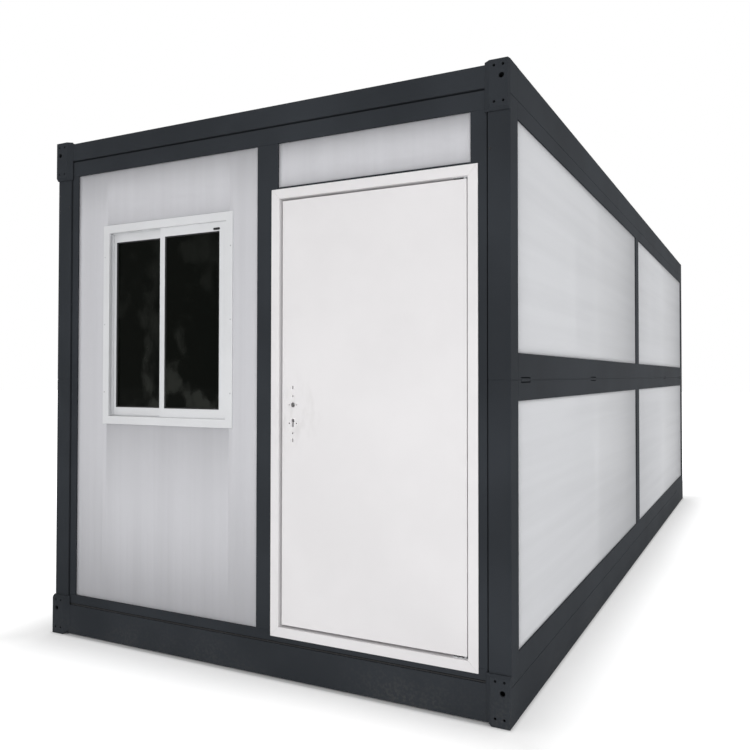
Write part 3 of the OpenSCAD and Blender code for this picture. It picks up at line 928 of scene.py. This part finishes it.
def piece(
    name: str,
    shapes: Sequence[Surface],
    finish: Finish,
    body: Body,
    sheet: float = 0.0,
    crease: float = 35.0,
) -> bpy.types.Object:
    """Makes one new piece and hangs it on its body.

    Args:
        name: the piece's name.
        shapes: surfaces that are joined into it.
        finish: its finish.
        body: the body that carries it.
        sheet: if more than 0, the surfaces are open and get this thickness behind them.
        crease: angle in degrees past which an edge stays sharp.

    Returns:
        The piece's object.
    """
    whole = joined(shapes)
    mesh = bpy.data.meshes.new(name)
    mesh.from_pydata(whole.points, [], whole.quads)
    shape = bmesh.new()
    shape.from_mesh(mesh)
    bmesh.ops.remove_doubles(shape, verts=shape.verts, dist=1e-6)
    if not sheet:
        bmesh.ops.recalc_face_normals(shape, faces=shape.faces)
    shape.to_mesh(mesh)
    shape.free()
    mesh.shade_smooth()
    mesh.set_sharp_from_angle(angle=math.radians(crease))
    obj = bpy.data.objects.new(name, mesh)
    bpy.context.scene.collection.objects.link(obj)
    if sheet:
        thick = obj.modifiers.new("thickness", "SOLIDIFY")
        thick.thickness, thick.offset = sheet, -1.0
    mesh.materials.append(finish.material())
    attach(obj, body.value)
    LOG.info("%s: %d faces, %s, on %s", name, len(mesh.polygons), finish.name, body.value)
    return obj


def soften(obj: bpy.types.Object, width: float) -> None:
    """Rounds an object's sharp edges with a bevel of two steps.

    Args:
        obj: the object.
        width: the bevel's width in metres.
    """
    bevel = obj.modifiers.new("edges", "BEVEL")
    bevel.width, bevel.segments, bevel.limit_method = width, 2, "ANGLE"
    bevel.angle_limit = math.radians(40)
    bevel.harden_normals = True


def middles(node: str) -> np.ndarray:
    """Y of the middle of each of a node's solids."""
    boxes = solids(node)
    return (boxes[:, 0, 1] + boxes[:, 1, 1]) / 2


def dress(finish: Finish, edge: float, *nodes: str) -> None:
    """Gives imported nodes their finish, and rounds their edges.

    Args:
        finish: their finish.
        edge: radius of their outer edges in metres, or 0 to leave them.
        nodes: names of the nodes.
    """
    for node in nodes:
        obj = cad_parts[node]
        obj.material_slots[0].material = finish.material()
        if edge:
            weld = obj.modifiers.new("weld", "WELD")
            weld.merge_threshold = 1e-5
            flat = obj.modifiers.new("flat", "DECIMATE")
            flat.decimate_type, flat.angle_limit = "DISSOLVE", math.radians(1)
            soften(obj, edge)
        LOG.info("%s: %s", node, finish.name)


def board_skins(
    name: str,
    boards: Sequence[Sequence[Sequence[float]]],
    pitch: float,
    depth: float,
    finish: BoardSkin,
    body: Body,
    hole: Optional[Tuple[float, float, float, float]] = None,
) -> None:
    """Ribbed skins on both faces of some boards, whose ribs run as their finish says.

    Args:
        name: the piece's name.
        boards: lowest and highest corner of each board.
        pitch: distance between ribs.
        depth: depth of a groove.
        finish: the skins' finish.
        body: the body that carries the boards.
        hole: rectangle left out, as least and greatest across the ribs, least and greatest along them.
    """
    across, along, face = (2, 1, 0) if finish.run is Run.ALONG else (0, 2, 1)
    axes = np.eye(3)
    shapes = []
    for low, high in boards:
        flat = ribbed((low[across], low[along]), (high[across], high[along]), pitch, depth, hole)
        swapped = (flat[0][:, [1, 0, 2]], flat[1][:, ::-1])
        shapes.append(laid(flat, axes[across], axes[along], axes[face] * low[face]))
        shapes.append(laid(swapped, axes[along], axes[across], axes[face] * high[face]))
    piece(name, shapes, finish, body, SKIN_SHEET, SKIN_CREASE)


# ---------- sub-assemblies ----------


@dataclass
class BaseFrame:
    """Floor beams, joists, the floor, and the seal under the front wall."""

    edge: float = 3 * MM
    joist_edge: float = 2 * MM
    screw_gap: float = 280 * MM
    screw_start: float = 60 * MM
    screw_end: float = 50 * MM
    screw_sink: float = 0.4 * MM
    sill_w: float = 30 * MM
    sill_back: float = 15.5 * MM
    sill_clear: float = 2.5 * MM
    sill_round: float = 0.8 * MM

    def build(self) -> None:
        """Dresses the floor frame, and sets its screws and seal."""
        dress(FRAME_PAINT, self.edge, "base_side_beams", "base_end_beams")
        dress(ZINC, self.joist_edge, "floor_joists")
        dress(FLOOR_PLY, 0.0, "floor_board")
        self.floor_screws()
        self.sill_seal()

    def sill_seal(self) -> None:
        """Soft strip on the front floor beam, under the front wall, whose edge passes just over it."""
        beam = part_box("base_end_beams")
        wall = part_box("front_wall_rails")
        height = wall[0].z - beam[1].z - self.sill_clear
        section = rounded(self.sill_w, height, self.sill_round)
        y, z = wall[0].y + self.sill_back, beam[1].z + height / 2
        line = strip(section, (beam[0].x, y, z), (beam[1].x, y, z), NORTH)
        piece("sill_seal", [line], RUBBER, Body.FRAME)

    def floor_screws(self) -> None:
        """Countersunk screws over each joist: a row across the house at every joist."""
        low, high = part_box("floor_board")
        x = np.arange(low.x + self.screw_start, high.x - self.screw_end, self.screw_gap)
        places = lattice(x, middles("floor_joists"), [high.z - self.screw_sink])
        head = lathe([(0.0045, 0.0), (0.0045, 0.0007), (0.002, 0.0007), (0.0012, 0.0002)], 8)
        piece("floor_screws", [copies(head, places)], ZINC, Body.FRAME)


@dataclass
class CornerFittings:
    """Eight corner fittings."""

    edge: float = 2.5 * MM

    def build(self) -> None:
        """Dresses the fittings."""
        for node in ("bottom_front", "bottom_rear", "top_front", "top_rear"):
            dress(FRAME_PAINT, self.edge, f"{node}_fittings")


@dataclass
class SideWall:
    """One side wall: two hinged halves with their boards and skins, and fillers in the seams."""

    side: Side
    edge: float = 2 * MM
    rib_pitch: float = 46 * MM
    rib_depth: float = 0.0  # these skins are flat
    shy: float = 1.2 * MM
    lap: float = 0.6 * MM
    plug_drop: float = 200 * MM
    plug_in: float = 10 * MM
    plug_sink: float = 0.1 * MM

    @property
    def word(self) -> str:
        """The side's word in node names."""
        return self.side.name.lower()

    def build(self) -> None:
        """Dresses both halves, lays their skins, and sets the fillers and the plug."""
        for half in ("lower", "upper"):
            boards = f"{half}_boards_{self.word}"
            dress(FRAME_PAINT, self.edge, f"{half}_posts_{self.word}", f"{half}_rails_{self.word}")
            dress(FOAM, 0.0, boards)
            board_skins(f"{half}_skins_{self.word}", solids(boards), self.rib_pitch, self.rib_depth,
                        LEVEL_SKIN, Body.FRAME)
        dress(FRAME_PAINT, 0.0, f"fold_hinges_{self.word}")
        self.fillers()
        self.plug()

    def fillers(self) -> None:
        """Painted filler in the seams at the floor beam, the fold and the roof beam, posts included."""
        posts = [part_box(f"{half}_posts_{self.word}") for half in ("lower", "upper")]
        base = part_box("base_side_beams")[1].z
        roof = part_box("roof_side_beams")[0].z
        seams = [(base, posts[0][0].z), (posts[0][1].z, posts[1][0].z), (posts[1][1].z, roof)]
        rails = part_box(f"lower_rails_{self.word}")
        middle = (rails[0].x + rails[1].x) / 2
        depth = rails[1].x - rails[0].x - 2 * self.shy
        y = posts[0][1].y - self.shy
        shapes = []
        for low, high in seams:
            section = rounded(depth, high - low + self.lap, 2 * self.lap)
            z = (low + high) / 2
            shapes.append(strip(section, (middle, -y, z), (middle, y, z), EAST))
        piece(f"seam_fillers_{self.word}", shapes, FRAME_PAINT, Body.FRAME)

    def plug(self) -> None:
        """Dark rubber plug in the front face of the upper corner post, beside the front wall; a real plug,
        whose dark colour also stands in as painted shade of a bolt hole.
        """
        low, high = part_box(f"upper_posts_{self.word}")
        inner = low.x if self.side is Side.RIGHT else high.x
        head = fronted(lathe([(0.0048, 0.0), (0.0048, 0.0008), (0.0036, 0.0022), (0.0014, 0.0026)], 14))
        x, z = inner + self.side.value * self.plug_in, high.z - self.plug_drop
        at = np.array([[x, low.y - self.plug_sink, z]])
        # dark rubber: a real plug, its darkness also painted shade of a bolt hole
        piece(f"post_plug_{self.word}", [copies(head, at)], RUBBER, Body.FRAME)


@dataclass
class Roof:
    """Roof beams, joists, ribbed sheet and ceiling."""

    edge: float = 4 * MM
    joist_edge: float = 2 * MM
    rib_pitch: float = 200 * MM
    screws_across: int = 9
    screw_inset: float = 80 * MM
    screw_rise: float = 2 * MM
    strip_w: float = 30 * MM
    strip_h: float = 3 * MM
    strip_sink: float = 1.2 * MM
    strip_shy: float = 2 * MM
    strip_end: float = 200 * MM

    def build(self) -> None:
        """Dresses the roof and sets its screws and ceiling strips."""
        dress(FRAME_PAINT, self.edge, "roof_side_beams", "roof_end_beams")
        dress(ZINC, self.joist_edge, "roof_joists")
        dress(ROOF_PAINT, 0.0, "roof_sheet")
        dress(CEILING_BOARD, 0.0, "ceiling")
        self.screws()
        self.strips()

    def screws(self) -> None:
        """Sealing screws in the valley of the sheet that is nearest to each joist."""
        low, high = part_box("roof_sheet")
        x = np.linspace(low.x + self.screw_inset, high.x - self.screw_inset, self.screws_across)
        pitch = (high.y - low.y) / round((high.y - low.y) / self.rib_pitch)
        y = low.y + np.round((middles("roof_joists") - low.y) / pitch) * pitch
        places = lattice(x, y, [low.z + self.screw_rise])
        hexagon = lathe([(0.0095, 0.0), (0.009, 0.0016), (0.0065, 0.0024), (0.0055, 0.0026)], 12)
        head = lathe([(0.0046, 0.002), (0.0046, 0.0062), (0.0038, 0.007)], 6)
        piece("roof_screws", [copies(joined([hexagon, head]), places)], ZINC, Body.FRAME)

    def strips(self) -> None:
        """Joint strips under the ceiling, one every panel width."""
        low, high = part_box("ceiling")
        first, last = math.ceil(low.y / CEILING_PANEL), math.floor(high.y / CEILING_PANEL)
        span = np.arange(first, last + 1) * CEILING_PANEL
        section = rounded(self.strip_w, self.strip_h, self.strip_sink)
        z = low.z - self.strip_sink
        one = strip(section, (low.x + self.strip_shy, 0.0, z), (high.x - self.strip_shy, 0.0, z), NORTH)
        inner = span[(span > low.y + self.strip_end) & (span < high.y - self.strip_end)]
        places = np.stack([inner * 0, inner, inner * 0], axis=-1)
        piece("ceiling_strips", [copies(one, places)], WINDOW_TRIM, Body.FRAME)


@dataclass
class RearWall:
    """Fixed rear wall of two boards between its stiles."""

    edge: float = 3 * MM
    rib_pitch: float = 46 * MM
    rib_depth: float = 0.7 * MM

    def build(self) -> None:
        """Dresses the wall and lays its skins."""
        dress(FRAME_PAINT, self.edge, "rear_wall_rails", "rear_wall_stiles")
        dress(FOAM, 0.0, "rear_wall_boards")
        board_skins("rear_wall_skins", solids("rear_wall_boards"), self.rib_pitch, self.rib_depth,
                    UPRIGHT_SKIN, Body.FRAME)


@dataclass
class FrontWall:
    """Front wall that swings in under the roof: frame, board with the window, board over the door."""

    edge: float = 3 * MM
    rib_pitch: float = 45 * MM
    rib_depth: float = 0.25 * MM
    lap: float = 20 * MM
    seal_gap: float = 1.5 * MM
    seal_d: float = 12 * MM
    seal_round: float = 2 * MM
    seal_back: float = 55 * MM
    seal_foot: float = 10 * MM
    seal_head: float = 20 * MM

    def build(self) -> None:
        """Dresses the wall, lays its skins and sets its seals."""
        dress(FRAME_PAINT, self.edge, "front_wall_rails", "front_wall_stiles")
        dress(FOAM, 0.0, "window_board", "transom_board")
        dress(FRAME_PAINT, 0.0, "wall_hinge_pins", "wall_hinge_knuckles")
        self.skins()
        self.seals()

    def skins(self) -> None:
        """Ribbed skins on both boards, with the window's hole left out."""
        start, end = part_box("window_frame")
        hole = (start.x + self.lap, end.x - self.lap, start.z + self.lap, end.z - self.lap)
        for word, cut in (("window", hole), ("transom", None)):
            board_skins(f"{word}_skins", [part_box(f"{word}_board")], self.rib_pitch, self.rib_depth,
                        UPRIGHT_SKIN, Body.FRONT_WALL, cut)

    def seals(self) -> None:
        """A rubber lip down each edge of the wall, short of the posts."""
        low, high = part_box("front_wall_rails")
        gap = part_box("lower_posts_right")[0].x - high.x
        section = rounded((gap - self.seal_gap) * 2, self.seal_d, self.seal_round)
        y, foot, head = low.y + self.seal_back, low.z + self.seal_foot, high.z - self.seal_head
        shapes = [strip(section, (x, y, foot), (x, y, head), EAST) for x in (-high.x, high.x)]
        piece("wall_seals", shapes, RUBBER, Body.FRONT_WALL)


@dataclass
class SlidingWindow:
    """Two-sash sliding window: frame, sashes, panes, seals, catch and screws."""

    edge: float = 1.5 * MM
    bite: float = 6 * MM
    catch_in: float = 72 * MM
    catch_drop: float = 40 * MM
    catch_rise: float = 0.5 * MM
    screw_inset: float = 11 * MM
    screw_end: float = 160 * MM

    def build(self) -> None:
        """Dresses the window and adds its seals, catch and screws."""
        dress(WINDOW_TRIM, self.edge, "window_frame", "window_sashes")
        dress(PANE_GLASS, 0.0, "window_glass")
        self.pane_seals()
        self.catch()
        self.screws()

    def pane_seals(self) -> None:
        """Rubber wedges round both faces of each pane, where the pane leaves its sash."""
        shapes = []
        for low, high in solids("window_glass"):
            inner_low = (low[0] + self.bite, low[1], low[2] + self.bite)
            inner_high = (high[0] - self.bite, low[1], high[2] - self.bite)
            front = [(0.0005, -0.0052), (-0.0012, -0.0050), (-0.0045, -0.0012), (-0.005, 0.0), (0.0005, 0.0)]
            shapes.append(surround(front, inner_low, inner_high))
            depth = high[1] - low[1]
            rear = [(out, depth - back) for out, back in front]
            shapes.append(surround(rear, inner_low, inner_high))
        piece("pane_seals", shapes, RUBBER, Body.FRONT_WALL)

    def catch(self) -> None:
        """Small dark catch on the front sash's top bar: a flat pad with a raised grip."""
        low, high = solids("window_sashes")[-1]
        base = pad(0.038, 0.011, 0.003, 0.004, 0.0012)
        grip = pad(0.014, 0.006, 0.0085, 0.0025, 0.002)
        at = np.array([[high[0] - self.catch_in, low[1] + self.catch_rise, high[2] - self.catch_drop]])
        piece("window_catch", [copies(fronted(joined([base, grip])), at)], RUBBER, Body.FRONT_WALL)

    def screws(self) -> None:
        """Three screws down each side of the window's frame."""
        low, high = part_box("window_frame")
        z = np.linspace(low.z + self.screw_end, high.z - self.screw_end, 3)
        places = lattice([low.x + self.screw_inset, high.x - self.screw_inset], [low.y], z)
        head = fronted(lathe([(0.0036, 0.0), (0.0036, 0.0006), (0.0028, 0.0013), (0.0012, 0.0014)], 10))
        piece("trim_screws", [copies(head, places)], ZINC, Body.FRONT_WALL)


@dataclass
class Doorway:
    """Door frame, leaf, hinges and seals."""

    edge: float = 2.5 * MM
    frame_edge: float = 1.5 * MM
    groove_w: float = 2.4 * MM
    groove_d: float = 12 * MM
    groove_back: float = 0.5 * MM
    bulb_in: float = 7 * MM
    bulb_back: float = 0.6 * MM
    bulb_w: float = 5.2 * MM
    bulb_d: float = 4.4 * MM
    bulb_sides: int = 10

    def build(self) -> None:
        """Dresses the door and its frame, and adds the seal's bulb and the groove's seal."""
        dress(DOOR_PAINT, self.frame_edge, "door_jambs", "door_head_sill")
        dress(DOOR_PAINT, self.edge, "door_leaf")
        dress(PALE_RUBBER, 0.0, "door_seal")
        dress(ZINC, 0.0, "door_hinge_pins", "door_hinge_knuckles")
        self.seal_bulb()
        self.groove_seal()

    def groove_seal(self) -> None:
        """Soft pale seal on the frame's inner edges, which shows in the groove round the leaf."""
        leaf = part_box("door_leaf")
        gap = leaf[0].x - solids("door_jambs")[0, 1, 0]
        near, depth = gap - self.groove_w, self.groove_d
        section = [(gap, 0.0), (gap, depth), (near, depth), (near, 0.0)]
        plane = leaf[0].y + self.groove_back
        corners = (leaf[0].x, plane, leaf[0].z), (leaf[1].x, plane, leaf[1].z)
        piece("groove_seal", [surround(section, *corners)], PALE_RUBBER, Body.FRONT_WALL)

    def seal_bulb(self) -> None:
        """Bulb of the door seal, an oval carried round the stop.

        At angle t the oval stands half its width times cos t to the side, and half its depth times
        sin t behind its middle.
        """
        low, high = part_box("door_seal")
        t = np.arange(self.bulb_sides) * 2 * math.pi / self.bulb_sides
        out = self.bulb_w / 2 * np.cos(t) - self.bulb_in
        back = self.bulb_d / 2 * np.sin(t) + self.bulb_back
        section = np.stack([out, back], axis=-1)
        corners = (low.x, low.y, low.z), (high.x, low.y, high.z)
        piece("door_seal_bulb", [surround(section, *corners)], PALE_RUBBER, Body.FRONT_WALL)


# ---------- studio ----------


@dataclass
class Studio:
    """Camera, floor, background and lamps."""

    eye: Point = (2.135, -5.630, 1.325)
    turn: float = 25.67
    tilt: float = 1.00
    lens: float = 35.70
    shift: Tuple[float, float] = (-0.0539, -0.0157)
    sky: float = 0.43
    floor_tone: float = 0.80
    floor_half: float = 60.0
    floor_drop: float = 0.5 * MM

    def build(self) -> None:
        """Sets the camera, the floor, the background and the lamps."""
        self.camera()
        self.floor()
        self.background()
        self.lamp("key", (3.2, -9.5, 2.6), (0.0, -2.9, 1.0), (4.0, 4.0), 130)
        self.lamp("side", (8.5, 0.4, 2.2), (1.24, 0.4, 1.2), (9.0, 3.0), 210)
        self.lamp("fill", (-6.5, -7.0, 6.2), (0.0, -2.5, 1.0), (3.0, 3.0), 40)
        self.lamp("top", (0.0, 0.0, 8.5), (0.0, 0.0, 0.0), (6.0, 9.0), 110)
        self.lamp("rear", (-1.5, 10.0, 3.4), (0.0, 2.9, 1.2), (5.0, 3.0), 170)
        self.lamp("bounce", (0.6, -7.6, 0.45), (-0.6, -2.9, 0.5), (6.0, 0.6), 80)

    def camera(self) -> None:
        """Camera at the eye, turned left from +Y and tilted up a little."""
        data = bpy.data.cameras.new("camera")
        data.lens, data.sensor_width = self.lens, 36.0
        data.shift_x, data.shift_y = self.shift
        data.clip_end = 200.0
        obj = bpy.data.objects.new("camera", data)
        obj.location = self.eye
        obj.rotation_euler = (math.radians(90 + self.tilt), 0.0, math.radians(self.turn))
        bpy.context.scene.collection.objects.link(obj)
        bpy.context.scene.camera = obj

    def seen(self, graph: Graph) -> Link:
        """1 for rays from the camera or by way of gloss or glass, 0 for light that falls on things."""
        ray = [graph.node("ShaderNodeLightPath", outlet=f"Is {kind} Ray")
               for kind in ("Camera", "Glossy", "Transmission")]
        return graph.maths("MAXIMUM", graph.maths("MAXIMUM", ray[0], ray[1]), ray[2])

    def background(self) -> None:
        """White to the eye, and a dimmer even sky as a light."""
        world = bpy.data.worlds.new("studio")
        bpy.context.scene.world = world
        graph = Graph(world)
        strength = self.sky + self.seen(graph) * (1.0 - self.sky)
        shader = graph.node("ShaderNodeBackground", {}, {"Color": (1.0, 1.0, 1.0), "Strength": strength})
        graph.node("ShaderNodeOutputWorld", {}, {"Surface": shader})

    def floor(self) -> None:
        """Wide pale floor that looks white away from the house and keeps its shadow.

        Its own glow rises in three steps with the distance from the house's outline.
        """
        mesh = bpy.data.meshes.new("floor")
        line = np.array([-self.floor_half, self.floor_half])
        mesh.from_pydata(lattice(line, line, [-self.floor_drop]), [], [(0, 2, 3, 1)])
        obj = bpy.data.objects.new("floor", mesh)
        bpy.context.scene.collection.objects.link(obj)
        material = bpy.data.materials.new("studio_floor")
        graph = Graph(material)
        tone = (self.floor_tone,) * 3
        high_x, high_y, _ = CAD_BOX[1]
        outside = graph.maths("MAXIMUM", abs(graph.axis("X")) - high_x, abs(graph.axis("Y")) - high_y)
        level = outside.ease(-0.01, 0.02) * 0.36 + outside.ease(0.0, 0.4) * 0.3 + outside.ease(0.3, 5.0) * 0.4
        glow = graph.node("ShaderNodeEmission", {}, {"Color": (1.0, 1.0, 1.0),
                                                     "Strength": self.seen(graph) * level})
        matt = graph.node("ShaderNodeBsdfDiffuse", {}, {"Color": tone})
        both = graph.node("ShaderNodeAddShader", {}, {0: glow, 1: matt})
        graph.node("ShaderNodeOutputMaterial", {}, {"Surface": both})
        mesh.materials.append(material)

    def lamp(self, name: str, at: Point, aim: Point, size: Tuple[float, float], watts: float) -> None:
        """A soft box.

        Args:
            name: the lamp's name.
            at: its place.
            aim: the point that it faces.
            size: its length along the level, and its other side, in metres.
            watts: its power.
        """
        data = bpy.data.lights.new(name, "AREA")
        data.shape, data.energy = "RECTANGLE", watts
        data.size, data.size_y = size
        obj = bpy.data.objects.new(name, data)
        obj.location = at
        way = (Vector(aim) - Vector(at)).normalized()
        obj.rotation_euler = (math.acos(-way.z), 0.0, math.atan2(-way.x, way.y))
        obj.visible_camera = False
        bpy.context.scene.collection.objects.link(obj)


def main() -> None:
    """Builds the studio and every sub-assembly in order."""
    logging.basicConfig(level=logging.INFO, format="%(name)s: %(message)s")
    bpy.context.scene.view_settings.view_transform = "Standard"
    parts = [BaseFrame(), CornerFittings(), SideWall(Side.LEFT), SideWall(Side.RIGHT), Roof(), RearWall(),
             FrontWall(), SlidingWindow(), Doorway(), Studio()]
    for part in parts:
        part.build()
        LOG.info("%s done", type(part).__name__)


if __name__ == "__main__":
    main()
